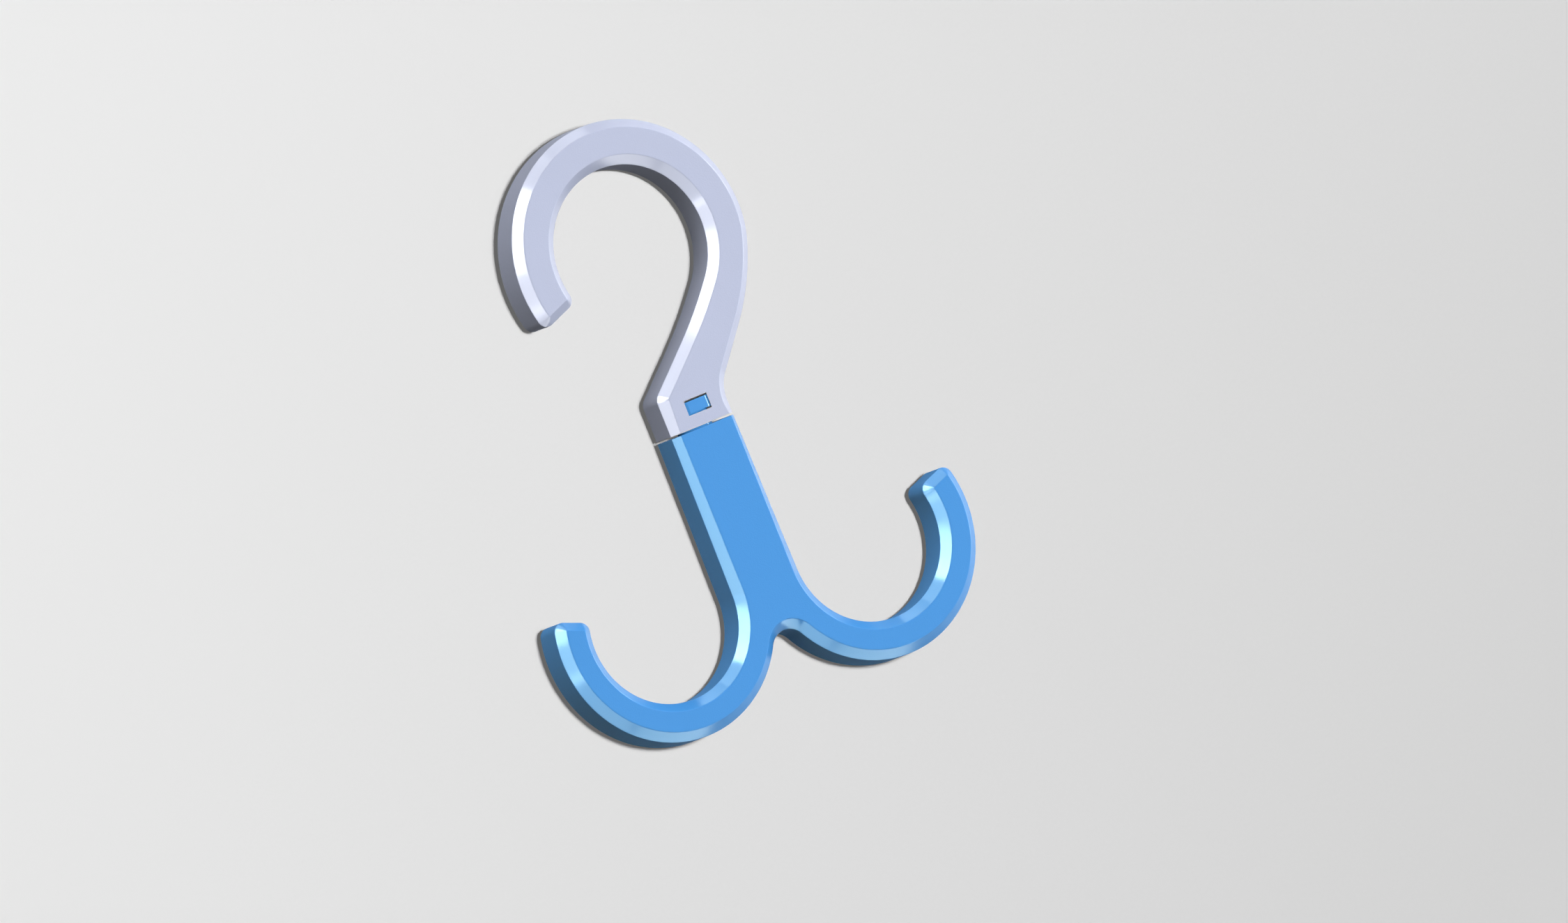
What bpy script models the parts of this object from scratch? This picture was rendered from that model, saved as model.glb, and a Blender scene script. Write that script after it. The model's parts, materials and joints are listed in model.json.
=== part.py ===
"""Swivel S-hook: a rail hook above, an anchor-like double hook below, and a captive swivel.

Both hooks are flat plates with chamfered edges. They lie in the XY plane on their back faces,
with +Z through the thickness and +Y along the swivel's axis, towards the upper hook. The origin
is at the middle of the whole outline, on the back faces' plane.

The two pieces are made in place. The double hook's stem ends in a journal with a disc head, and
the head turns in a cavity in the upper hook's neck, which it can't leave.
"""

import math

import bmesh
import bpy
from mathutils import Matrix, Vector

MM = 0.001

# Plate section that both hooks share
THICKNESS = 8.45 * MM
EDGE_CHAMFER = 1.5 * MM
STEM_WIDTH = 12.0 * MM

# Upper hook: its arc's centre lies on the swivel's axis, above the seam
UPPER_CENTRE_HEIGHT = 30.95 * MM
UPPER_INNER_RADIUS = 13.7 * MM
UPPER_ARM_WIDTH = 7.45 * MM
UPPER_TIP_DROP = math.radians(20)

# Upper hook's back, from the outer arc down to the neck: two arcs, a straight and a fillet
SHOULDER_RADIUS = 17.2 * MM
SHOULDER_TURN = math.radians(20)
BACK_RADIUS = 38.4 * MM
BACK_TURN = math.radians(40.7)
NECK_FILLET = 7.0 * MM

# Upper hook's throat, from the inner arc down to the neck: an arc, a straight and a round corner
THROAT_START = math.radians(40.4)
THROAT_RADIUS = 76.5 * MM
THROAT_SLOPE = math.radians(40.7)
NECK_CORNER_LAND = 0.55 * MM

# Double hook: each outer arc touches the swivel's axis
LOWER_CENTRE_DEPTH = 27.05 * MM
LOWER_INNER_RADIUS = 13.3 * MM
LOWER_ARM_WIDTH = 6.35 * MM
LOWER_TIP_RISE = math.radians(20)
CROTCH_FILLET = 3.2 * MM

# What is left of a tip's rounded corner on the flat faces, inside the chamfer
TIP_LAND = 0.15 * MM

# Swivel
JOURNAL_RADIUS = 3.0 * MM
HEAD_RADIUS = 4.55 * MM
HEAD_HEIGHT = 1.95 * MM
NECK_FLOOR = 2.1 * MM
SEAM_GAP = 0.3 * MM
AXIAL_GAP = 0.3 * MM
RADIAL_GAP = 0.2 * MM
STUD_ROOT = 3.0 * MM

# How far a plate's outline runs on past the seam before its end is cut square
CUT_ALLOWANCE = 2 * EDGE_CHAMFER

# Faceting: the most that a facet lies off its arc, and the sides of a turned piece
ARC_SAG = 0.012 * MM
TURNED_SIDES = 72
SHARP_ANGLE = math.radians(25)

# Sizes that follow from these
UPPER_OUTER_RADIUS = UPPER_INNER_RADIUS + UPPER_ARM_WIDTH
LOWER_OUTER_RADIUS = LOWER_INNER_RADIUS + LOWER_ARM_WIDTH
TIP_FILLET = EDGE_CHAMFER + TIP_LAND
NECK_CORNER = EDGE_CHAMFER + NECK_CORNER_LAND
UPPER_REACH = UPPER_CENTRE_HEIGHT + UPPER_OUTER_RADIUS
LOWER_REACH = LOWER_CENTRE_DEPTH + LOWER_OUTER_RADIUS
SEAM_Y = (LOWER_REACH - UPPER_REACH) / 2
AXIS_Z = THICKNESS / 2
NECK_END_Y = SEAM_Y + SEAM_GAP / 2
STEM_END_Y = SEAM_Y - SEAM_GAP / 2
HEAD_Y = NECK_END_Y + NECK_FLOOR + AXIAL_GAP

# Colours, sRGB 0 to 255
LAVENDER_GREY = (193, 200, 224)
SKY_BLUE = (82, 155, 228)
PLASTIC_ROUGHNESS = 0.45


# Plane geometry for the outlines

def unit(angle):
    """The unit vector at an angle from +X."""
    return Vector((math.cos(angle), math.sin(angle)))


def arc(centre, radius, start, end):
    """Points along an arc, with both ends, close enough for the faceting's sag."""
    step = 2 * math.acos(1 - ARC_SAG / radius)
    count = max(2, math.ceil(abs(end - start) / step))
    return [centre + radius * unit(start + (end - start) * i / count) for i in range(count + 1)]


def round_corner(before, corner, after, radius):
    """The arc that rounds the corner between two straight edges."""
    back = (before - corner).normalized()
    ahead = (after - corner).normalized()
    half = back.angle(ahead) / 2
    centre = corner + (back + ahead).normalized() * radius / math.sin(half)
    reach = radius / math.tan(half)
    first = corner + back * reach - centre
    last = corner + ahead * reach - centre
    start = math.atan2(first.y, first.x)
    turn = math.remainder(math.atan2(last.y, last.x) - start, math.tau)
    return arc(centre, radius, start, start + turn)


def tip_end(centre, inner_radius, outer_radius, angle):
    """A hook's flat radial end with its two rounded corners, from the inner arc to the outer.

    The arm comes up to the end from smaller angles. The first and last points' angles about the
    hook's centre come with the points, because the arms' arcs stop there.
    """
    inner_back = math.asin(TIP_FILLET / (inner_radius + TIP_FILLET))
    outer_back = math.asin(TIP_FILLET / (outer_radius - TIP_FILLET))
    inner_angle = angle - inner_back
    outer_angle = angle - outer_back
    inner_centre = centre + (inner_radius + TIP_FILLET) * unit(inner_angle)
    outer_centre = centre + (outer_radius - TIP_FILLET) * unit(outer_angle)
    square = angle + math.pi / 2
    points = arc(inner_centre, TIP_FILLET, inner_angle + math.pi, square)
    points += arc(outer_centre, TIP_FILLET, square, outer_angle)
    return points, inner_angle, outer_angle


def upper_outline():
    """The upper hook's outline, from the neck's right side round to its left one.

    The neck runs on past the seam, because its end is cut square later.
    """
    centre = Vector((0, SEAM_Y + UPPER_CENTRE_HEIGHT))
    half = STEM_WIDTH / 2
    quarter = math.pi / 2

    # Back: shoulder arc, long arc and straight, tangent in turn, then the fillet into the neck
    shoulder = centre + Vector((UPPER_OUTER_RADIUS - SHOULDER_RADIUS, 0))
    back = shoulder + (SHOULDER_RADIUS - BACK_RADIUS) * unit(-SHOULDER_TURN)
    away = unit(-BACK_TURN)
    straight = back + BACK_RADIUS * away
    fillet_x = half + NECK_FILLET
    fillet_y = straight.y + (NECK_FILLET - (fillet_x - straight.x) * away.x) / away.y
    fillet = Vector((fillet_x, fillet_y))

    # Throat: long arc tangent inside the hook's inner arc, then a straight down to the corner
    throat = centre + (UPPER_INNER_RADIUS - THROAT_RADIUS) * unit(-THROAT_START)
    throat_end = THROAT_SLOPE - quarter
    throat_foot = throat + THROAT_RADIUS * unit(throat_end)
    drop = (throat_foot.x + half) * math.tan(THROAT_SLOPE)
    corner = Vector((-half, throat_foot.y - drop))
    neck_left = Vector((-half, NECK_END_Y - CUT_ALLOWANCE))
    neck_right = Vector((half, neck_left.y))

    tip = math.pi + UPPER_TIP_DROP
    end, inner_stop, outer_stop = tip_end(centre, UPPER_INNER_RADIUS, UPPER_OUTER_RADIUS, tip)

    points = [neck_right]
    points += arc(fillet, NECK_FILLET, math.pi, math.pi - BACK_TURN)
    points += arc(back, BACK_RADIUS, -BACK_TURN, -SHOULDER_TURN)
    points += arc(shoulder, SHOULDER_RADIUS, -SHOULDER_TURN, 0)
    points += arc(centre, UPPER_OUTER_RADIUS, 0, quarter)
    points += arc(centre, UPPER_OUTER_RADIUS, quarter, outer_stop)
    points += reversed(end)
    points += arc(centre, UPPER_INNER_RADIUS, inner_stop, -THROAT_START)
    points += arc(throat, THROAT_RADIUS, -THROAT_START, throat_end)
    points += round_corner(throat_foot, corner, neck_left, NECK_CORNER)
    points += [neck_left]
    return points


def lower_outline():
    """The double hook's outline: its right half from the stem's end, then the mirrored half.

    The stem runs on past the seam along its tapered sides, because its end is cut square later.
    """
    centre = Vector((LOWER_OUTER_RADIUS, SEAM_Y - LOWER_CENTRE_DEPTH))
    stem_corner = Vector((STEM_WIDTH / 2, STEM_END_Y))

    # The stem's side runs from its end corner, tangent to the inner arc
    towards = stem_corner - centre
    side_angle = math.atan2(towards.y, towards.x)
    side_turn = math.acos(LOWER_INNER_RADIUS / towards.length)
    inner_start = side_angle + side_turn
    side_foot = centre + LOWER_INNER_RADIUS * unit(inner_start)
    side = (stem_corner - side_foot).normalized()
    stem_top = stem_corner + side * CUT_ALLOWANCE

    # The crotch's fillet sits on the axis, tangent to both outer arcs
    reach = LOWER_OUTER_RADIUS + CROTCH_FILLET
    crotch_angle = math.acos(LOWER_OUTER_RADIUS / reach)
    crotch = Vector((0, centre.y - reach * math.sin(crotch_angle)))

    tip = math.tau + LOWER_TIP_RISE
    end, inner_stop, outer_stop = tip_end(centre, LOWER_INNER_RADIUS, LOWER_OUTER_RADIUS, tip)

    points = [stem_top]
    points += arc(centre, LOWER_INNER_RADIUS, inner_start, inner_stop)
    points += end
    points += arc(centre, LOWER_OUTER_RADIUS, outer_stop, math.tau)
    points += arc(centre, LOWER_OUTER_RADIUS, math.tau, 1.5 * math.pi)
    points += arc(centre, LOWER_OUTER_RADIUS, 1.5 * math.pi, math.pi + crotch_angle)
    points += arc(crotch, CROTCH_FILLET, crotch_angle, math.pi / 2)
    mirrored = [Vector((-p.x, p.y)) for p in reversed(points)]
    return points + mirrored


def without_repeats(points):
    """The closed outline without the points that neighbouring arcs share."""
    kept = []
    for point in points:
        if not kept or (point - kept[-1]).length > ARC_SAG / 10:
            kept.append(point)
    return kept


# Solids

def mesh_object(name, mesh, collection):
    item = bpy.data.objects.new(name, mesh)
    collection.objects.link(item)
    return item


def chamfered_plate(name, outline, collection):
    """A plate with this outline, chamfered alike round its front and its back."""
    points = without_repeats(outline)
    curve = bpy.data.curves.new(name, "CURVE")
    curve.dimensions = "2D"
    curve.fill_mode = "BOTH"
    curve.extrude = THICKNESS / 2 - EDGE_CHAMFER
    curve.bevel_depth = EDGE_CHAMFER
    curve.bevel_resolution = 0
    curve.offset = -EDGE_CHAMFER
    spline = curve.splines.new("POLY")
    spline.points.add(len(points) - 1)
    for target, point in zip(spline.points, points):
        target.co = (point.x, point.y, 0, 1)
    spline.use_cyclic_u = True

    drawn = mesh_object(name + "_outline", curve, collection)
    drawn.location.z = AXIS_Z
    bpy.context.view_layer.update()
    graph = bpy.context.evaluated_depsgraph_get()
    mesh = bpy.data.meshes.new_from_object(drawn.evaluated_get(graph))
    plate = mesh_object(name, mesh, collection)
    plate.matrix_world = drawn.matrix_world.copy()
    bpy.data.objects.remove(drawn)

    shape = bmesh.new()
    shape.from_mesh(mesh)
    bmesh.ops.remove_doubles(shape, verts=shape.verts, dist=ARC_SAG / 10)
    bmesh.ops.recalc_face_normals(shape, faces=shape.faces)
    shape.to_mesh(mesh)
    shape.free()
    return plate


def disc(name, radius, start, end, collection):
    """A solid cylinder on the swivel's axis, between two places along it."""
    shape = bmesh.new()
    turn = Matrix.Rotation(math.pi / 2, 4, "X")
    bmesh.ops.create_cone(shape, cap_ends=True, segments=TURNED_SIDES, radius1=radius,
                          radius2=radius, depth=end - start, matrix=turn)
    mesh = bpy.data.meshes.new(name)
    shape.to_mesh(mesh)
    shape.free()
    item = mesh_object(name, mesh, collection)
    item.location = (0, (start + end) / 2, AXIS_Z)
    return item


def block(name, width, height, start, end, collection):
    """A box centred on the swivel's axis, between two places along it."""
    shape = bmesh.new()
    size = Matrix.Diagonal((width, end - start, height, 1))
    bmesh.ops.create_cube(shape, size=1, matrix=size)
    mesh = bpy.data.meshes.new(name)
    shape.to_mesh(mesh)
    shape.free()
    item = mesh_object(name, mesh, collection)
    item.location = (0, (start + end) / 2, AXIS_Z)
    return item


def combine(item, other, operation):
    """Boolean modifier; the other object becomes a hidden cutter."""
    step = item.modifiers.new(other.name, "BOOLEAN")
    step.operation = operation
    step.solver = "EXACT"
    step.object = other
    other.hide_render = True
    other.display_type = "WIRE"


def cut_square(plate, side, collection):
    """Saw a plate off square at the seam: side is 1 for the neck above it and -1 for the stem."""
    near = SEAM_Y + side * SEAM_GAP / 2
    far = near - side * 3 * CUT_ALLOWANCE
    saw = block(plate.name + "_saw", 2 * STEM_WIDTH, 2 * THICKNESS, min(near, far),
                max(near, far), collection)
    combine(plate, saw, "DIFFERENCE")


def plastic(name, colour):
    """Satin plastic of one sRGB colour."""
    def linear(value):
        share = value / 255
        return share / 12.92 if share <= 0.04045 else ((share + 0.055) / 1.055) ** 2.4

    material = bpy.data.materials.new(name)
    material.use_nodes = True
    shader = material.node_tree.nodes["Principled BSDF"]
    shader.inputs["Base Color"].default_value = (*[linear(v) for v in colour], 1)
    shader.inputs["Roughness"].default_value = PLASTIC_ROUGHNESS
    shader.inputs["Metallic"].default_value = 0
    return material


def finish(item, material):
    """Give the piece its material, and shade its arcs smooth between sharp edges."""
    item.data.materials.clear()
    item.data.materials.append(material)
    item.data.shade_smooth()
    item.data.set_sharp_from_angle(angle=SHARP_ANGLE)


def on_axis(item):
    """Move the piece's origin to the seam on the swivel's axis, and leave its shape in place."""
    place = Vector((0, SEAM_Y, AXIS_Z))
    shift = Matrix.Translation(item.matrix_world.translation - place)
    item.data.transform(shift)
    item.location = place


def build_upper_hook(parts, cutters):
    """The upper hook, with the swivel's bore and its disc-shaped cavity in the neck."""
    hook = chamfered_plate("upper_hook", upper_outline(), parts)
    cut_square(hook, 1, cutters)
    bore_start = NECK_END_Y - SEAM_GAP
    cavity_start = HEAD_Y - AXIAL_GAP
    cavity_end = HEAD_Y + HEAD_HEIGHT + AXIAL_GAP
    bore_end = (cavity_start + cavity_end) / 2
    bore = disc("bore_cutter", JOURNAL_RADIUS + RADIAL_GAP, bore_start, bore_end, cutters)
    cavity = disc("cavity_cutter", HEAD_RADIUS + RADIAL_GAP, cavity_start, cavity_end, cutters)
    combine(hook, bore, "DIFFERENCE")
    combine(hook, cavity, "DIFFERENCE")
    finish(hook, plastic("lavender_grey_plastic", LAVENDER_GREY))
    return hook


def build_double_hook(parts, cutters):
    """The double hook, with the journal and the trimmed disc head on its stem's end."""
    hook = chamfered_plate("double_hook", lower_outline(), parts)
    cut_square(hook, -1, cutters)
    journal_start = STEM_END_Y - STUD_ROOT
    journal_end = HEAD_Y + HEAD_HEIGHT / 2
    head_end = HEAD_Y + HEAD_HEIGHT
    journal = disc("journal", JOURNAL_RADIUS, journal_start, journal_end, cutters)
    head = disc("head", HEAD_RADIUS, HEAD_Y, head_end, cutters)
    trim = block("head_trim", 3 * HEAD_RADIUS, THICKNESS, HEAD_Y - AXIAL_GAP,
                 head_end + AXIAL_GAP, cutters)
    combine(head, trim, "INTERSECT")
    combine(hook, journal, "UNION")
    combine(hook, head, "UNION")
    finish(hook, plastic("sky_blue_plastic", SKY_BLUE))
    return hook


def new_collection(name):
    collection = bpy.data.collections.new(name)
    bpy.context.scene.collection.children.link(collection)
    return collection


for leftover in list(bpy.data.objects):
    bpy.data.objects.remove(leftover)

part_collection = new_collection("swivel_s_hook")
cutter_collection = new_collection("cutters")
upper_hook = build_upper_hook(part_collection, cutter_collection)
double_hook = build_double_hook(part_collection, cutter_collection)
on_axis(upper_hook)
on_axis(double_hook)
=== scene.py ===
import json
import math

import bmesh
import bpy
from mathutils import Matrix, Vector


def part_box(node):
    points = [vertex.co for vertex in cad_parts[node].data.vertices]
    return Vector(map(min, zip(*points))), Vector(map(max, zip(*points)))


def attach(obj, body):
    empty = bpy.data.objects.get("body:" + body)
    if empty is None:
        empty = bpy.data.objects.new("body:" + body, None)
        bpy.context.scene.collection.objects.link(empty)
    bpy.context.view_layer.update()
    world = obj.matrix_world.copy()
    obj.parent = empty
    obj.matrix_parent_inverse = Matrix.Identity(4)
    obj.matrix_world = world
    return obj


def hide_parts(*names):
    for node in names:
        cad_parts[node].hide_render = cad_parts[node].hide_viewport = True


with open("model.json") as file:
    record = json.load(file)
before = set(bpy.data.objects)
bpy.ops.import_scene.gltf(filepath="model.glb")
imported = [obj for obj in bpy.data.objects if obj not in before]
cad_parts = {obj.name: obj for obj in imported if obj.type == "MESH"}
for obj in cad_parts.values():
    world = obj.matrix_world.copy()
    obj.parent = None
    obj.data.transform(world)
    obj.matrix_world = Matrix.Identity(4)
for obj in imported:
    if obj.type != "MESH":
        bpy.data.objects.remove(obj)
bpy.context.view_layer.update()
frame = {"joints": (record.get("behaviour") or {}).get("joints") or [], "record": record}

# Upper hook
# The rail hook is one flat piece of moulded ABS, pale lavender-grey, with even 45 degree chamfers
# round both faces. Its neck ends square at the seam. The swivel's bore opens there and leads to a
# disc-shaped cavity, which breaks out through both faces as a small window.

MM = 0.001
EDGE_CHAMFER = 1.5 * MM
EDGE_ROUND = 0.22 * MM
EDGE_ROUND_STEPS = 3
RIM_LAND = 0.5
STEM_WIDTH = 12.0 * MM
SHOULDER_RADIUS = 17.2 * MM
SHOULDER_TURN = math.radians(20)
BACK_RADIUS = 38.4 * MM
BACK_TURN = math.radians(40.7)
NECK_FILLET = 7.0 * MM
THROAT_START = math.radians(40.4)
THROAT_RADIUS = 76.5 * MM
THROAT_SLOPE = math.radians(40.7)
NECK_CORNER_LAND = 0.55 * MM
NECK_CORNER = EDGE_CHAMFER + NECK_CORNER_LAND
TIP_LAND = 0.15 * MM
TIP_FILLET = EDGE_CHAMFER + TIP_LAND
UPPER_TIP_DROP = math.radians(20)
SEAM_GAP = 0.3 * MM
BORE_RADIUS = 3.2 * MM
CAVITY_RADIUS = 4.75 * MM
CAVITY_HEIGHT = 2.55 * MM
NECK_FLOOR = 2.1 * MM
CUT_ROUND = 0.1 * MM
CUT_ROUND_STEPS = 2
ROUND_PROFILE = 0.5
CUT_ALLOWANCE = 2 * EDGE_CHAMFER
ARC_STEP = math.radians(1.5)
SHORTEST_CHORD = 0.1 * MM
TURNED_SIDES = 128
MERGE_REACH = 0.0005 * MM

upper_low, upper_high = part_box("upper_hook")
swivel = frame["joints"][0]
saddle = next(m for m in frame["record"]["mounts"] if m["name"] == "rail_saddle")
THICKNESS = upper_high[2] - upper_low[2]
AXIS_Z = swivel["pos_m"][2]
SEAM_Y = swivel["pos_m"][1]
UPPER_OUTER_RADIUS = -upper_low[0]
UPPER_INNER_RADIUS = saddle["dims"]["r_mm"] * MM
UPPER_CENTRE = Vector((0, upper_high[1] - UPPER_OUTER_RADIUS))
NECK_END_Y = SEAM_Y + SEAM_GAP / 2
CAVITY_Y = NECK_END_Y + NECK_FLOOR
SHARP_ANGLE = math.radians(30)
FLAT_FACE_WEIGHT = 100

LAVENDER_GREY = "#BFC6DF"
GREY_SHEEN = "#F4F7FF"
ABS_IOR = 1.54
BLASTED_ROUGHNESS = 0.9
POLISHED_ROUGHNESS = 0.15
FINISH_BLEND = 0.03 * MM
NOISE_LOW = 0.25
NOISE_HIGH = 0.75
SWIRL_SIZE = 14 * MM
SWIRL_DETAIL = 3.0
SWIRL_DISTORTION = 0.6
SWIRL_TINT = 0.012
SWIRL_GLOSS = 0.02
GRAIN_SIZE = 0.2 * MM
GRAIN_DETAIL = 2.0
GRAIN_DEPTH = 0.03 * MM
BLASTED_GRAIN = 0.6
POLISHED_GRAIN = 0.1


def unit(angle):
    """The unit vector at an angle from +X."""
    return Vector((math.cos(angle), math.sin(angle)))


def arc(centre, radius, start, end):
    """Points along an arc, with both ends, in fine steps that aren't too fine on a small arc."""
    turn = abs(end - start)
    count = math.ceil(min(turn / ARC_STEP, turn * radius / SHORTEST_CHORD))
    return [centre + radius * unit(start + (end - start) * i / count) for i in range(count + 1)]


def round_corner(before, corner, after, radius):
    """The arc that rounds the corner between two straight edges."""
    back = (before - corner).normalized()
    ahead = (after - corner).normalized()
    half = back.angle(ahead) / 2
    centre = corner + (back + ahead).normalized() * radius / math.sin(half)
    reach = radius / math.tan(half)
    first = corner + back * reach - centre
    last = corner + ahead * reach - centre
    start = math.atan2(first.y, first.x)
    turn = math.remainder(math.atan2(last.y, last.x) - start, math.tau)
    return arc(centre, radius, start, start + turn)


def tip_end(centre, inner_radius, outer_radius, angle):
    """A hook's flat radial end with its rounded corners, and the angles where its arcs stop."""
    inner_back = math.asin(TIP_FILLET / (inner_radius + TIP_FILLET))
    outer_back = math.asin(TIP_FILLET / (outer_radius - TIP_FILLET))
    inner_angle = angle - inner_back
    outer_angle = angle - outer_back
    inner_centre = centre + (inner_radius + TIP_FILLET) * unit(inner_angle)
    outer_centre = centre + (outer_radius - TIP_FILLET) * unit(outer_angle)
    square = angle + math.pi / 2
    points = arc(inner_centre, TIP_FILLET, inner_angle + math.pi, square)
    points += arc(outer_centre, TIP_FILLET, square, outer_angle)
    return points, inner_angle, outer_angle


def upper_outline():
    """Anticlockwise from the neck's right side, by the back, the arc and the tip, to its left."""
    half = STEM_WIDTH / 2
    quarter = math.pi / 2

    shoulder = UPPER_CENTRE + Vector((UPPER_OUTER_RADIUS - SHOULDER_RADIUS, 0))
    back = shoulder + (SHOULDER_RADIUS - BACK_RADIUS) * unit(-SHOULDER_TURN)
    away = unit(-BACK_TURN)
    straight = back + BACK_RADIUS * away
    fillet_x = half + NECK_FILLET
    fillet_y = straight.y + (NECK_FILLET - (fillet_x - straight.x) * away.x) / away.y
    fillet = Vector((fillet_x, fillet_y))

    throat = UPPER_CENTRE + (UPPER_INNER_RADIUS - THROAT_RADIUS) * unit(-THROAT_START)
    throat_end = THROAT_SLOPE - quarter
    throat_foot = throat + THROAT_RADIUS * unit(throat_end)
    drop = (throat_foot.x + half) * math.tan(THROAT_SLOPE)
    corner = Vector((-half, throat_foot.y - drop))
    neck_left = Vector((-half, NECK_END_Y - CUT_ALLOWANCE))
    neck_right = Vector((half, neck_left.y))

    tip = math.pi + UPPER_TIP_DROP
    end, inner_stop, outer_stop = tip_end(UPPER_CENTRE, UPPER_INNER_RADIUS, UPPER_OUTER_RADIUS, tip)

    points = [neck_right]
    points += arc(fillet, NECK_FILLET, math.pi, math.pi - BACK_TURN)
    points += arc(back, BACK_RADIUS, -BACK_TURN, -SHOULDER_TURN)
    points += arc(shoulder, SHOULDER_RADIUS, -SHOULDER_TURN, 0)
    points += arc(UPPER_CENTRE, UPPER_OUTER_RADIUS, 0, outer_stop)
    points += reversed(end)
    points += arc(UPPER_CENTRE, UPPER_INNER_RADIUS, inner_stop, -THROAT_START)
    points += arc(throat, THROAT_RADIUS, -THROAT_START, throat_end)
    points += round_corner(throat_foot, corner, neck_left, NECK_CORNER)
    points += [neck_left]
    return points


def add_node(tree, kind, settings=None, **links):
    """Add a node with its settings, and give its inputs a value or link them to an output.

    An input is named by its label with underscores, or by its number as n0, n1 and so on.
    """
    node = tree.nodes.new(kind)
    for key, value in (settings or {}).items():
        setattr(node, key, value)
    for key, value in links.items():
        if key[0] == "n" and key[1:].isdigit():
            socket = node.inputs[int(key[1:])]
        else:
            socket = next(s for s in node.inputs if s.name.replace(" ", "_") == key and s.enabled)
        if isinstance(value, bpy.types.NodeSocket):
            tree.links.new(value, socket)
        else:
            socket.default_value = value
    return node


def plate_tree():
    """Geometry Nodes that turn a closed outline curve into a plate with rounded chamfers."""
    tree = bpy.data.node_groups.new("chamfered_plate", "GeometryNodeTree")
    face = tree.interface
    face.new_socket("Outline", in_out="INPUT", socket_type="NodeSocketGeometry")
    for name in ("Thickness", "Chamfer", "Edge Round"):
        face.new_socket(name, in_out="INPUT", socket_type="NodeSocketFloat")
    face.new_socket("Round Steps", in_out="INPUT", socket_type="NodeSocketInt")
    face.new_socket("Material", in_out="INPUT", socket_type="NodeSocketMaterial")
    face.new_socket("Plate", in_out="OUTPUT", socket_type="NodeSocketGeometry")
    given = add_node(tree, "NodeGroupInput").outputs

    # The edge's section, from the front face over chamfer, wall and chamfer to the back face. It
    # starts and ends on a face, past the chamfer, because its edge is rounded there too.
    land = add_node(tree, "ShaderNodeMath", {"operation": "MULTIPLY_ADD"},
                    n0=given["Edge Round"], n1=RIM_LAND, n2=given["Chamfer"]).outputs[0]
    shoulder = add_node(tree, "ShaderNodeMath", {"operation": "SUBTRACT"},
                        n0=given["Thickness"], n1=given["Chamfer"]).outputs[0]
    corners = ((land, given["Thickness"]), (given["Chamfer"], given["Thickness"]), (0, shoulder),
               (0, given["Chamfer"]), (given["Chamfer"], 0), (land, 0))
    index = add_node(tree, "GeometryNodeInputIndex").outputs[0]
    place = tree.nodes.new("GeometryNodeIndexSwitch")
    place.data_type = "VECTOR"
    while len(place.index_switch_items) < len(corners):
        place.index_switch_items.new()
    tree.links.new(index, place.inputs["Index"])
    for number, (inward, up) in enumerate(corners):
        corner = add_node(tree, "ShaderNodeCombineXYZ", X=inward, Y=up).outputs[0]
        tree.links.new(corner, place.inputs[f"Item_{number}"])
    turned = add_node(tree, "ShaderNodeVectorMath", {"operation": "SCALE"}, n0=place.outputs[0],
                      Scale=-1).outputs[0]
    row = add_node(tree, "GeometryNodePoints", Count=len(corners), Position=turned)
    line = add_node(tree, "GeometryNodePointsToCurves", Points=row.outputs[0])
    section = add_node(tree, "GeometryNodeFilletCurve", {"mode": "POLY"}, Curve=line.outputs[0],
                       Count=given["Round Steps"], Radius=given["Edge Round"])

    # The section swept round the outline, and its two rims filled
    level = add_node(tree, "GeometryNodeSetCurveNormal", {"mode": "Z_UP"}, Curve=given["Outline"])
    rim = add_node(tree, "GeometryNodeCurveToMesh", Curve=level.outputs[0],
                   Profile_Curve=section.outputs[0]).outputs[0]
    faces = add_node(tree, "GeometryNodeInputMeshEdgeNeighbors").outputs[0]
    open_edge = add_node(tree, "FunctionNodeCompare", {"data_type": "INT", "operation": "EQUAL"},
                         A=faces, B=1).outputs[0]
    height = add_node(tree, "GeometryNodeInputPosition").outputs[0]
    height = add_node(tree, "ShaderNodeSeparateXYZ", Vector=height).outputs["Z"]
    joined = add_node(tree, "GeometryNodeJoinGeometry", Geometry=rim)
    for operation, up in (("GREATER_THAN", given["Thickness"]), ("LESS_THAN", 0)):
        side = add_node(tree, "FunctionNodeCompare", {"data_type": "FLOAT", "operation": operation},
                        A=height, B=given["Chamfer"]).outputs[0]
        chosen = add_node(tree, "FunctionNodeBooleanMath", {"operation": "AND"},
                          n0=open_edge, n1=side).outputs[0]
        loop = add_node(tree, "GeometryNodeMeshToCurve", Mesh=rim, Selection=chosen)
        filled = add_node(tree, "GeometryNodeFillCurve", {"mode": "NGONS"}, Curve=loop.outputs[0])
        lift = add_node(tree, "ShaderNodeCombineXYZ", Z=up).outputs[0]
        sheet = add_node(tree, "GeometryNodeTransform", Geometry=filled.outputs[0],
                         Translation=lift)
        tree.links.new(sheet.outputs[0], joined.inputs[0])
    welded = add_node(tree, "GeometryNodeMergeByDistance", Geometry=joined.outputs[0],
                      Distance=MERGE_REACH)
    real = add_node(tree, "GeometryNodeRealizeInstances", Geometry=welded.outputs[0])
    coated = add_node(tree, "GeometryNodeSetMaterial", Geometry=real.outputs[0],
                      Material=given["Material"])
    add_node(tree, "NodeGroupOutput", n0=coated.outputs[0])
    return tree


def set_input(modifier, name, value):
    """Set a modifier's input by its socket's identifier."""
    sockets = modifier.node_group.interface.items_tree
    modifier[next(s.identifier for s in sockets if s.name == name)] = value


def without_repeats(points):
    """The closed outline without the points that neighbouring arcs share."""
    kept = []
    for point in points:
        if not kept or (point - kept[-1]).length > MERGE_REACH:
            kept.append(point)
    return kept


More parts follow.
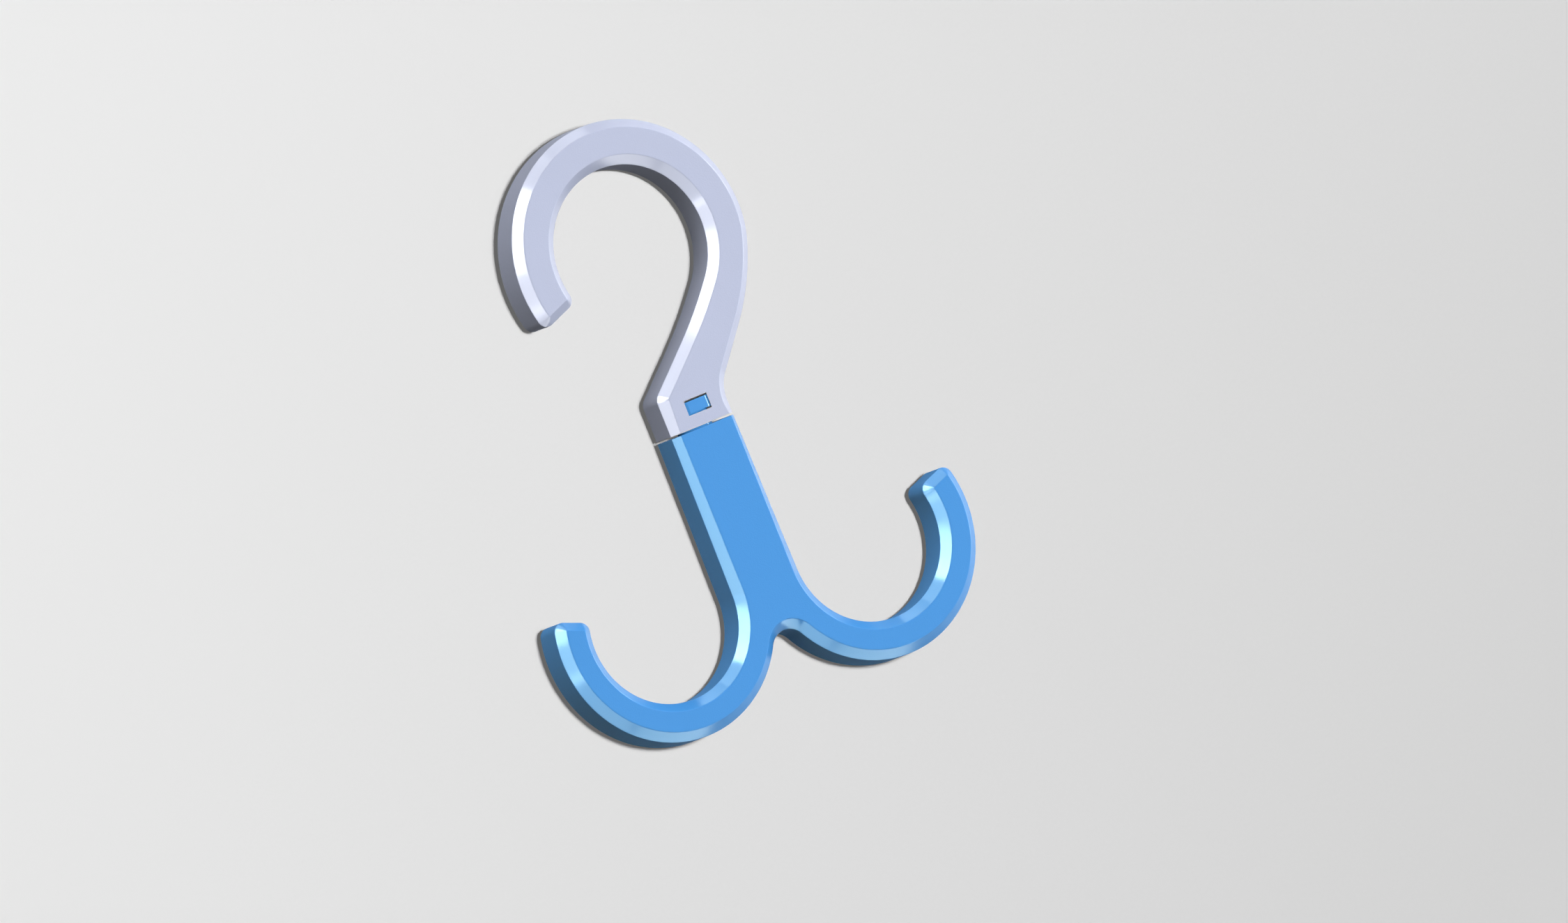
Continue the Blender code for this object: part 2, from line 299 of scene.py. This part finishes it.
def moulded_plate(name, outline, material):
    """A plate from its outline by way of the tree, as a plain mesh with outward faces."""
    points = without_repeats(outline)
    curve = bpy.data.curves.new(name + "_outline", "CURVE")
    curve.dimensions = "3D"
    spline = curve.splines.new("POLY")
    spline.points.add(len(points) - 1)
    for target, point in zip(spline.points, points):
        target.co = (point.x, point.y, 0, 1)
    spline.use_cyclic_u = True
    drawn = bpy.data.objects.new(name + "_outline", curve)
    bpy.context.scene.collection.objects.link(drawn)
    maker = drawn.modifiers.new("plate", "NODES")
    maker.node_group = plate
    set_input(maker, "Thickness", THICKNESS)
    set_input(maker, "Chamfer", EDGE_CHAMFER)
    set_input(maker, "Edge Round", EDGE_ROUND)
    set_input(maker, "Round Steps", EDGE_ROUND_STEPS)
    set_input(maker, "Material", material)
    bpy.context.view_layer.update()
    graph = bpy.context.evaluated_depsgraph_get()
    mesh = bpy.data.meshes.new_from_object(drawn.evaluated_get(graph))
    bpy.data.objects.remove(drawn)

    shape = bmesh.new()
    shape.from_mesh(mesh)
    bmesh.ops.remove_doubles(shape, verts=shape.verts, dist=MERGE_REACH)
    bmesh.ops.recalc_face_normals(shape, faces=shape.faces)
    shape.to_mesh(mesh)
    shape.free()
    piece = bpy.data.objects.new(name, mesh)
    bpy.context.scene.collection.objects.link(piece)
    return piece


def disc(radius, start, end):
    """A mesh of a solid cylinder on the swivel's axis, between two places along it."""
    shape = bmesh.new()
    turn = Matrix.Translation((0, (start + end) / 2, AXIS_Z)) @ Matrix.Rotation(math.pi / 2, 4, "X")
    bmesh.ops.create_cone(shape, cap_ends=True, segments=TURNED_SIDES, radius1=radius,
                          radius2=radius, depth=end - start, matrix=turn)
    mesh = bpy.data.meshes.new("disc")
    shape.to_mesh(mesh)
    shape.free()
    return mesh


def settled(piece):
    """Make the piece's modifiers part of its mesh, and remove them."""
    bpy.context.view_layer.update()
    graph = bpy.context.evaluated_depsgraph_get()
    mesh = bpy.data.meshes.new_from_object(piece.evaluated_get(graph))
    piece.modifiers.clear()
    piece.data = mesh


def combine(piece, tool_mesh, operation):
    """Cut a tool's shape from the piece, add it or keep what they share."""
    tool = bpy.data.objects.new("tool", tool_mesh)
    bpy.context.scene.collection.objects.link(tool)
    step = piece.modifiers.new("combine", "BOOLEAN")
    step.operation = operation
    step.solver = "EXACT"
    step.object = tool
    settled(piece)
    bpy.data.objects.remove(tool)


def round_edges(shape, edges):
    """Round the sharp edges that a cut left."""
    bmesh.ops.bevel(shape, geom=edges, offset=CUT_ROUND, segments=CUT_ROUND_STEPS,
                    profile=ROUND_PROFILE, affect="EDGES", clamp_overlap=True)


def end_square(piece, place, side):
    """End the piece square at a place on the swivel's axis, with the end's edges rounded.

    What lies past the place goes, and the side is -1 or 1 for the way along the axis.
    """
    shape = bmesh.new()
    shape.from_mesh(piece.data)
    everything = shape.verts[:] + shape.edges[:] + shape.faces[:]
    cut = bmesh.ops.bisect_plane(shape, geom=everything, dist=MERGE_REACH, clear_outer=True,
                                 plane_co=(0, place, 0), plane_no=(0, side, 0))
    rim = [item for item in cut["geom_cut"] if isinstance(item, bmesh.types.BMEdge)]
    bmesh.ops.contextual_create(shape, geom=rim)
    bmesh.ops.recalc_face_normals(shape, faces=shape.faces)
    round_edges(shape, rim)
    shape.to_mesh(piece.data)
    shape.free()


def round_window(piece):
    """Round the rims where the cavity breaks out through the two faces."""
    shape = bmesh.new()
    shape.from_mesh(piece.data)
    window_end = CAVITY_Y + CAVITY_HEIGHT

    def on_rim(point):
        on_face = min(abs(point.z), abs(point.z - THICKNESS)) < MERGE_REACH
        inside = CAVITY_Y - MERGE_REACH < point.y < window_end + MERGE_REACH
        return on_face and inside and abs(point.x) < CAVITY_RADIUS

    rims = [e for e in shape.edges if e.calc_face_angle(0) > SHARP_ANGLE
            and all(on_rim(v.co) for v in e.verts)]
    round_edges(shape, rims)
    shape.to_mesh(piece.data)
    shape.free()


def shade(piece):
    """Smooth shading whose flat faces stay flat up to their rounded edges."""
    piece.data.shade_smooth()
    piece.data.set_sharp_from_angle(angle=SHARP_ANGLE)
    even = piece.modifiers.new("even", "WEIGHTED_NORMAL")
    even.keep_sharp = True
    even.weight = FLAT_FACE_WEIGHT
    settled(piece)


def linear_colour(code):
    """An sRGB hex colour as linear red, green, blue and alpha."""
    shares = [int(code[i:i + 2], 16) / 255 for i in (1, 3, 5)]
    return (*[s / 12.92 if s <= 0.04045 else ((s + 0.055) / 1.055) ** 2.4 for s in shares], 1)


def spread(tree, noise, low, high):
    """A noise, which mostly runs from NOISE_LOW to NOISE_HIGH, spread from low to high."""
    return add_node(tree, "ShaderNodeMapRange", Value=noise, n1=NOISE_LOW, n2=NOISE_HIGH, n3=low,
                    n4=high).outputs[0]


def moulded_abs(name, colour, sheen_tint):
    """ABS from a tool whose faces and walls are blasted, and whose chamfers are polished.

    So the faces and walls are matt with a fine grain, and the chamfers have hardly any grain and a
    soft gloss that catches the light. The melt's slow swirls shift the colour and the gloss a
    little. The real grain is about 0.05 mm across, and is drawn at 0.2 mm, because finer than that
    can't show.
    """
    material = bpy.data.materials.new(name)
    material.use_nodes = True
    tree = material.node_tree
    tree.nodes.clear()
    place = add_node(tree, "ShaderNodeTexCoord").outputs["Object"]
    swirl = add_node(tree, "ShaderNodeTexNoise", Vector=place, Scale=1 / SWIRL_SIZE,
                     Detail=SWIRL_DETAIL, Distortion=SWIRL_DISTORTION).outputs["Fac"]
    grain = add_node(tree, "ShaderNodeTexNoise", Vector=place, Scale=1 / GRAIN_SIZE,
                     Detail=GRAIN_DETAIL).outputs["Fac"]
    coloured = add_node(tree, "ShaderNodeVectorMath", {"operation": "SCALE"},
                        n0=linear_colour(colour)[:3],
                        Scale=spread(tree, swirl, 1 - SWIRL_TINT, 1 + SWIRL_TINT)).outputs[0]

    # The height from the plate's middle tells the chamfers from the walls and the faces
    height = add_node(tree, "ShaderNodeSeparateXYZ", Vector=place).outputs["Z"]
    height = add_node(tree, "ShaderNodeMath", {"operation": "SUBTRACT"}, n0=height,
                      n1=AXIS_Z).outputs[0]
    height = add_node(tree, "ShaderNodeMath", {"operation": "ABSOLUTE"}, n0=height).outputs[0]
    wall_top = AXIS_Z - EDGE_CHAMFER
    blasted = add_node(tree, "ShaderNodeMapRange", Value=height, n1=wall_top - FINISH_BLEND,
                       n2=wall_top, n3=1, n4=0).outputs[0]
    blasted = add_node(tree, "ShaderNodeMapRange", Value=height, n1=AXIS_Z - FINISH_BLEND,
                       n2=AXIS_Z, n3=blasted, n4=1).outputs[0]
    rough = add_node(tree, "ShaderNodeMapRange", Value=blasted, n3=POLISHED_ROUGHNESS,
                     n4=BLASTED_ROUGHNESS).outputs[0]
    rough = add_node(tree, "ShaderNodeMath", {"operation": "ADD"}, n0=rough,
                     n1=spread(tree, swirl, -SWIRL_GLOSS, SWIRL_GLOSS)).outputs[0]
    grain_share = add_node(tree, "ShaderNodeMapRange", Value=blasted, n3=POLISHED_GRAIN,
                           n4=BLASTED_GRAIN).outputs[0]
    relief = add_node(tree, "ShaderNodeBump", Height=grain, Strength=grain_share,
                      Distance=GRAIN_DEPTH).outputs[0]
    shader = add_node(tree, "ShaderNodeBsdfPrincipled", Base_Color=coloured, Roughness=rough,
                      IOR=ABS_IOR, Normal=relief, Specular_Tint=linear_colour(sheen_tint))
    add_node(tree, "ShaderNodeOutputMaterial", Surface=shader.outputs[0])
    return material


plate = plate_tree()
grey_abs = moulded_abs("moulded_abs_lavender_grey", LAVENDER_GREY, GREY_SHEEN)
rail_hook = moulded_plate("rail_hook", upper_outline(), grey_abs)
end_square(rail_hook, NECK_END_Y, -1)
cavity = disc(CAVITY_RADIUS, CAVITY_Y, CAVITY_Y + CAVITY_HEIGHT)
bore = disc(BORE_RADIUS, NECK_END_Y - CUT_ALLOWANCE, CAVITY_Y + CAVITY_HEIGHT / 2)
combine(rail_hook, cavity, "DIFFERENCE")
combine(rail_hook, bore, "DIFFERENCE")
round_window(rail_hook)
shade(rail_hook)
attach(rail_hook, "rail_hook")
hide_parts("upper_hook")

# Double hook
# The lower piece is one flat anchor-like plate of sky-blue ABS of the same section: a stem that
# parts into two mirrored hooks. Its journal and disc head are moulded in place inside the neck, so
# that the two turn but never part. The head is trimmed flush with both faces.

SKY_BLUE = "#4A98E3"
BLUE_SHEEN = "#CAF9FF"
LOWER_CENTRE_DEPTH = 27.05 * MM
LOWER_INNER_RADIUS = 13.3 * MM
LOWER_TIP_RISE = math.radians(20)
CROTCH_FILLET = 3.2 * MM
RADIAL_GAP = 0.2 * MM
AXIAL_GAP = 0.3 * MM
STUD_ROOT = 3.0 * MM
lower_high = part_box("double_hook")[1]
LOWER_OUTER_RADIUS = lower_high[0] / 2
STEM_END_Y = SEAM_Y - SEAM_GAP / 2


def lower_outline():
    """Anticlockwise round both hooks, from one half of the points and their mirrored copies."""
    centre = Vector((LOWER_OUTER_RADIUS, SEAM_Y - LOWER_CENTRE_DEPTH))
    stem_corner = Vector((STEM_WIDTH / 2, STEM_END_Y))

    # The stem's side runs from its end corner, tangent to the inner arc
    towards = stem_corner - centre
    side_angle = math.atan2(towards.y, towards.x)
    inner_start = side_angle + math.acos(LOWER_INNER_RADIUS / towards.length)
    side_foot = centre + LOWER_INNER_RADIUS * unit(inner_start)
    side = (stem_corner - side_foot).normalized()
    stem_top = stem_corner + side * CUT_ALLOWANCE

    # The crotch's fillet sits on the axis, tangent to both outer arcs
    reach = LOWER_OUTER_RADIUS + CROTCH_FILLET
    crotch_angle = math.acos(LOWER_OUTER_RADIUS / reach)
    crotch = Vector((0, centre.y - reach * math.sin(crotch_angle)))

    tip = math.tau + LOWER_TIP_RISE
    end, inner_stop, outer_stop = tip_end(centre, LOWER_INNER_RADIUS, LOWER_OUTER_RADIUS, tip)

    points = [stem_top]
    points += arc(centre, LOWER_INNER_RADIUS, inner_start, inner_stop)
    points += end
    points += arc(centre, LOWER_OUTER_RADIUS, outer_stop, math.pi + crotch_angle)
    points += arc(crotch, CROTCH_FILLET, crotch_angle, math.pi / 2)
    mirrored = [Vector((-p.x, p.y)) for p in reversed(points)]
    return list(reversed(points + mirrored))


def block(width, height, start, end):
    """A mesh of a box centred on the swivel's axis, between two places along it."""
    shape = bmesh.new()
    place = Matrix.Translation((0, (start + end) / 2, AXIS_Z))
    size = Matrix.Diagonal((width, end - start, height, 1))
    bmesh.ops.create_cube(shape, size=1, matrix=place @ size)
    mesh = bpy.data.meshes.new("block")
    shape.to_mesh(mesh)
    shape.free()
    return mesh


blue_abs = moulded_abs("moulded_abs_sky_blue", SKY_BLUE, BLUE_SHEEN)
double_hook = moulded_plate("double_hook_and_stud", lower_outline(), blue_abs)
end_square(double_hook, STEM_END_Y, 1)
head_start = CAVITY_Y + AXIAL_GAP
head_end = CAVITY_Y + CAVITY_HEIGHT - AXIAL_GAP
head = bpy.data.objects.new("head", disc(CAVITY_RADIUS - RADIAL_GAP, head_start, head_end))
bpy.context.scene.collection.objects.link(head)
trim = block(STEM_WIDTH, THICKNESS, head_start - AXIAL_GAP, head_end + AXIAL_GAP)
combine(head, trim, "INTERSECT")
journal = disc(BORE_RADIUS - RADIAL_GAP, STEM_END_Y - STUD_ROOT, (head_start + head_end) / 2)
combine(double_hook, journal, "UNION")
combine(double_hook, head.data, "UNION")
bpy.data.objects.remove(head)
double_hook.data.materials.clear()
double_hook.data.materials.append(blue_abs)
shade(double_hook)
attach(double_hook, "swinging_hooks")
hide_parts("double_hook")

# Floor
# The hook lies on a wide sheet of matt white board. Its colour is painted a little paler towards
# the upper left, a painted pool of light, as if more light came from there.

FLOOR_SIZE = 3.0
# Painted light: the board's colour runs from the pale colour to the dim one across the board, as if
# the light fell off
BOARD_PAINTED_PALE = "#FEFEFE"
BOARD_PAINTED_DIM = "#DDDDDD"
BOARD_SHADE = "#404040"
BOARD_GLOW = 0.11
BOARD_SHINE = 0.3
PAINTED_LIGHT_SIDE = math.radians(127)
PAINTED_LIGHT_REACH = 160 * MM
FIBRE_SIZE = 0.6 * MM
FIBRE_DETAIL = 2.0
FIBRE_TINT = 0.006


def seen_rays(tree):
    """1 for the rays of the camera, of gloss and of glass, and 0 for all other light."""
    rays = add_node(tree, "ShaderNodeLightPath").outputs
    seen = add_node(tree, "ShaderNodeMath", {"operation": "ADD"},
                    n0=rays["Is Camera Ray"], n1=rays["Is Glossy Ray"]).outputs[0]
    return add_node(tree, "ShaderNodeMath", {"operation": "ADD", "use_clamp": True},
                    n0=seen, n1=rays["Is Transmission Ray"]).outputs[0]


def matt_board():
    """Uncoated white board, with a faint grain of paper fibre, and painted light that makes it
    paler towards the upper left.

    The camera and the hook's gloss see it pale, with a slight even glow, which is stronger in
    the gloss, where the board shows about white. Other light meets a darker board, so that little
    of it comes back up on to the hook's walls.
    """
    material = bpy.data.materials.new("matt_white_board")
    material.use_nodes = True
    tree = material.node_tree
    tree.nodes.clear()
    place = add_node(tree, "ShaderNodeTexCoord").outputs["Object"]
    # Painted light: the board's colour grows paler towards the upper left, a painted pool of light,
    # not a change in the board
    along = add_node(tree, "ShaderNodeVectorMath", {"operation": "DOT_PRODUCT"}, n0=place,
                     n1=(*unit(PAINTED_LIGHT_SIDE), 0)).outputs["Value"]
    painted_light_share = add_node(tree, "ShaderNodeMapRange", Value=along, n1=-PAINTED_LIGHT_REACH,
                     n2=PAINTED_LIGHT_REACH).outputs[0]
    pale = add_node(tree, "ShaderNodeMix", {"data_type": "RGBA"}, Factor=painted_light_share,
                    A=linear_colour(BOARD_PAINTED_DIM), B=linear_colour(BOARD_PAINTED_PALE)).outputs["Result"]
    fibre = add_node(tree, "ShaderNodeTexNoise", Vector=place, Scale=1 / FIBRE_SIZE,
                     Detail=FIBRE_DETAIL).outputs["Fac"]
    tint = spread(tree, fibre, 1 - FIBRE_TINT, 1 + FIBRE_TINT)
    pale = add_node(tree, "ShaderNodeVectorMath", {"operation": "SCALE"}, n0=pale,
                    Scale=tint).outputs[0]
    seen = seen_rays(tree)
    board = add_node(tree, "ShaderNodeMix", {"data_type": "RGBA"}, Factor=seen,
                     A=linear_colour(BOARD_SHADE), B=pale).outputs["Result"]
    paper = add_node(tree, "ShaderNodeBsdfDiffuse", Color=board)
    glossy = add_node(tree, "ShaderNodeLightPath").outputs["Is Glossy Ray"]
    shine = add_node(tree, "ShaderNodeMath", {"operation": "MULTIPLY"}, n0=glossy, n1=BOARD_SHINE)
    strength = add_node(tree, "ShaderNodeMath", {"operation": "MULTIPLY_ADD"}, n0=seen,
                        n1=BOARD_GLOW, n2=shine.outputs[0])
    glow = add_node(tree, "ShaderNodeEmission", Strength=strength.outputs[0])
    shader = add_node(tree, "ShaderNodeAddShader", n0=paper.outputs[0], n1=glow.outputs[0])
    add_node(tree, "ShaderNodeOutputMaterial", Surface=shader.outputs[0])
    return material


shape = bmesh.new()
bmesh.ops.create_grid(shape, x_segments=1, y_segments=1, size=FLOOR_SIZE / 2)
floor_mesh = bpy.data.meshes.new("floor")
shape.to_mesh(floor_mesh)
shape.free()
floor = bpy.data.objects.new("floor", floor_mesh)
bpy.context.scene.collection.objects.link(floor)
floor_mesh.materials.append(matt_board())

# Light
# A soft box hangs straight above the hook, and two long panels stand low to its left and right.
# The panels are linked to the hook alone, so the board keeps only the soft box's close shadow.
# Cards stand further round the hook, and only show in its gloss.

WORLD_SHADE = 0.03
WORLD_PALE = 0.7
LAMP_DISTANCE = 2.0
FULL_LEVEL = math.pi ** 2 * LAMP_DISTANCE ** 2

world = bpy.data.worlds.new("studio")
bpy.context.scene.world = world
world.use_nodes = True
tree = world.node_tree
tree.nodes.clear()
strength = add_node(tree, "ShaderNodeMapRange", Value=seen_rays(tree), n3=WORLD_SHADE,
                    n4=WORLD_PALE)
sky = add_node(tree, "ShaderNodeBackground", Strength=strength.outputs[0])
add_node(tree, "ShaderNodeOutputWorld", Surface=sky.outputs[0])


def soft_box(name, azimuth, elevation, width, height, level):
    """A soft box that faces the hook. At level 1 alone, a colour facing it renders as written."""
    lamp = bpy.data.lights.new(name, "AREA")
    lamp.shape = "RECTANGLE"
    lamp.size = width
    lamp.size_y = height
    lamp.energy = level * FULL_LEVEL
    item = bpy.data.objects.new(name, lamp)
    bpy.context.scene.collection.objects.link(item)
    flat = unit(math.radians(azimuth)) * math.cos(math.radians(elevation))
    away = Vector((flat.x, flat.y, math.sin(math.radians(elevation))))
    item.location = away * LAMP_DISTANCE
    item.rotation_euler = away.to_track_quat("Z", "Y").to_euler()
    item.visible_camera = False
    return item


# A small soft box overhead. The gloss doesn't show it, so that it leaves no hot spot.
top_box = soft_box("top_box", azimuth=90, elevation=90, width=0.2, height=0.2, level=0.74)
top_box.visible_glossy = False

# The hook's plastic doesn't colour the light on the board
both_pieces = bpy.data.collections.new("lit_by_the_panels")
for piece in (rail_hook, double_hook):
    both_pieces.objects.link(piece)
    piece.visible_diffuse = False

# The panels
left = soft_box("left_panel", azimuth=112, elevation=13, width=1.6, height=0.7, level=0.45)
right = soft_box("right_panel", azimuth=4, elevation=8, width=1.6, height=0.5, level=0.9)
for panel in (left, right):
    panel.light_linking.receiver_collection = both_pieces

# The cards, from the brightest on the upper left, past the bottom and the right, to the top
cards = [
    soft_box("upper_left_card", azimuth=140.5, elevation=22, width=1.93, height=0.55, level=1.85),
    soft_box("left_card", azimuth=184, elevation=26, width=1.0, height=0.8, level=0.56),
    soft_box("lower_left_card", azimuth=220, elevation=22, width=1.87, height=0.8, level=0.64),
    soft_box("lower_card", azimuth=275, elevation=9, width=2.15, height=0.7, level=0.72),
    soft_box("right_card", azimuth=0, elevation=15, width=0.8, height=0.45, level=0.4),
    soft_box("upper_card", azimuth=78, elevation=6, width=1.0, height=0.4, level=0.12),
]
for card in cards:
    card.visible_diffuse = False

# Camera
# The camera looks down on the hook from its left without perspective, as the photograph does. It
# is rolled so that the hook leans in the frame, and takes in the board for some way round it.

CAMERA_AZIMUTH = math.radians(178.52)
CAMERA_ELEVATION = math.radians(63.51)
CAMERA_ROLL = math.radians(69.42)
CAMERA_DISTANCE = 0.8
VIEW_WIDTH = 253.3 * MM
AIM = Vector((10.6, -13.0, 8.45)) * MM

flat = unit(CAMERA_AZIMUTH) * math.cos(CAMERA_ELEVATION)
away = Vector((flat.x, flat.y, math.sin(CAMERA_ELEVATION)))
level = Vector((0, 0, 1)).cross(away).normalized()
upright = away.cross(level)
right = level * math.cos(CAMERA_ROLL) + upright * math.sin(CAMERA_ROLL)
up = away.cross(right)
lens = bpy.data.cameras.new("camera")
lens.type = "ORTHO"
lens.ortho_scale = VIEW_WIDTH
camera = bpy.data.objects.new("camera", lens)
bpy.context.scene.collection.objects.link(camera)
turn = Matrix((right, up, away)).transposed().to_4x4()
camera.matrix_world = Matrix.Translation(AIM + away * CAMERA_DISTANCE) @ turn
bpy.context.scene.camera = camera
bpy.context.scene.view_settings.view_transform = "Standard"
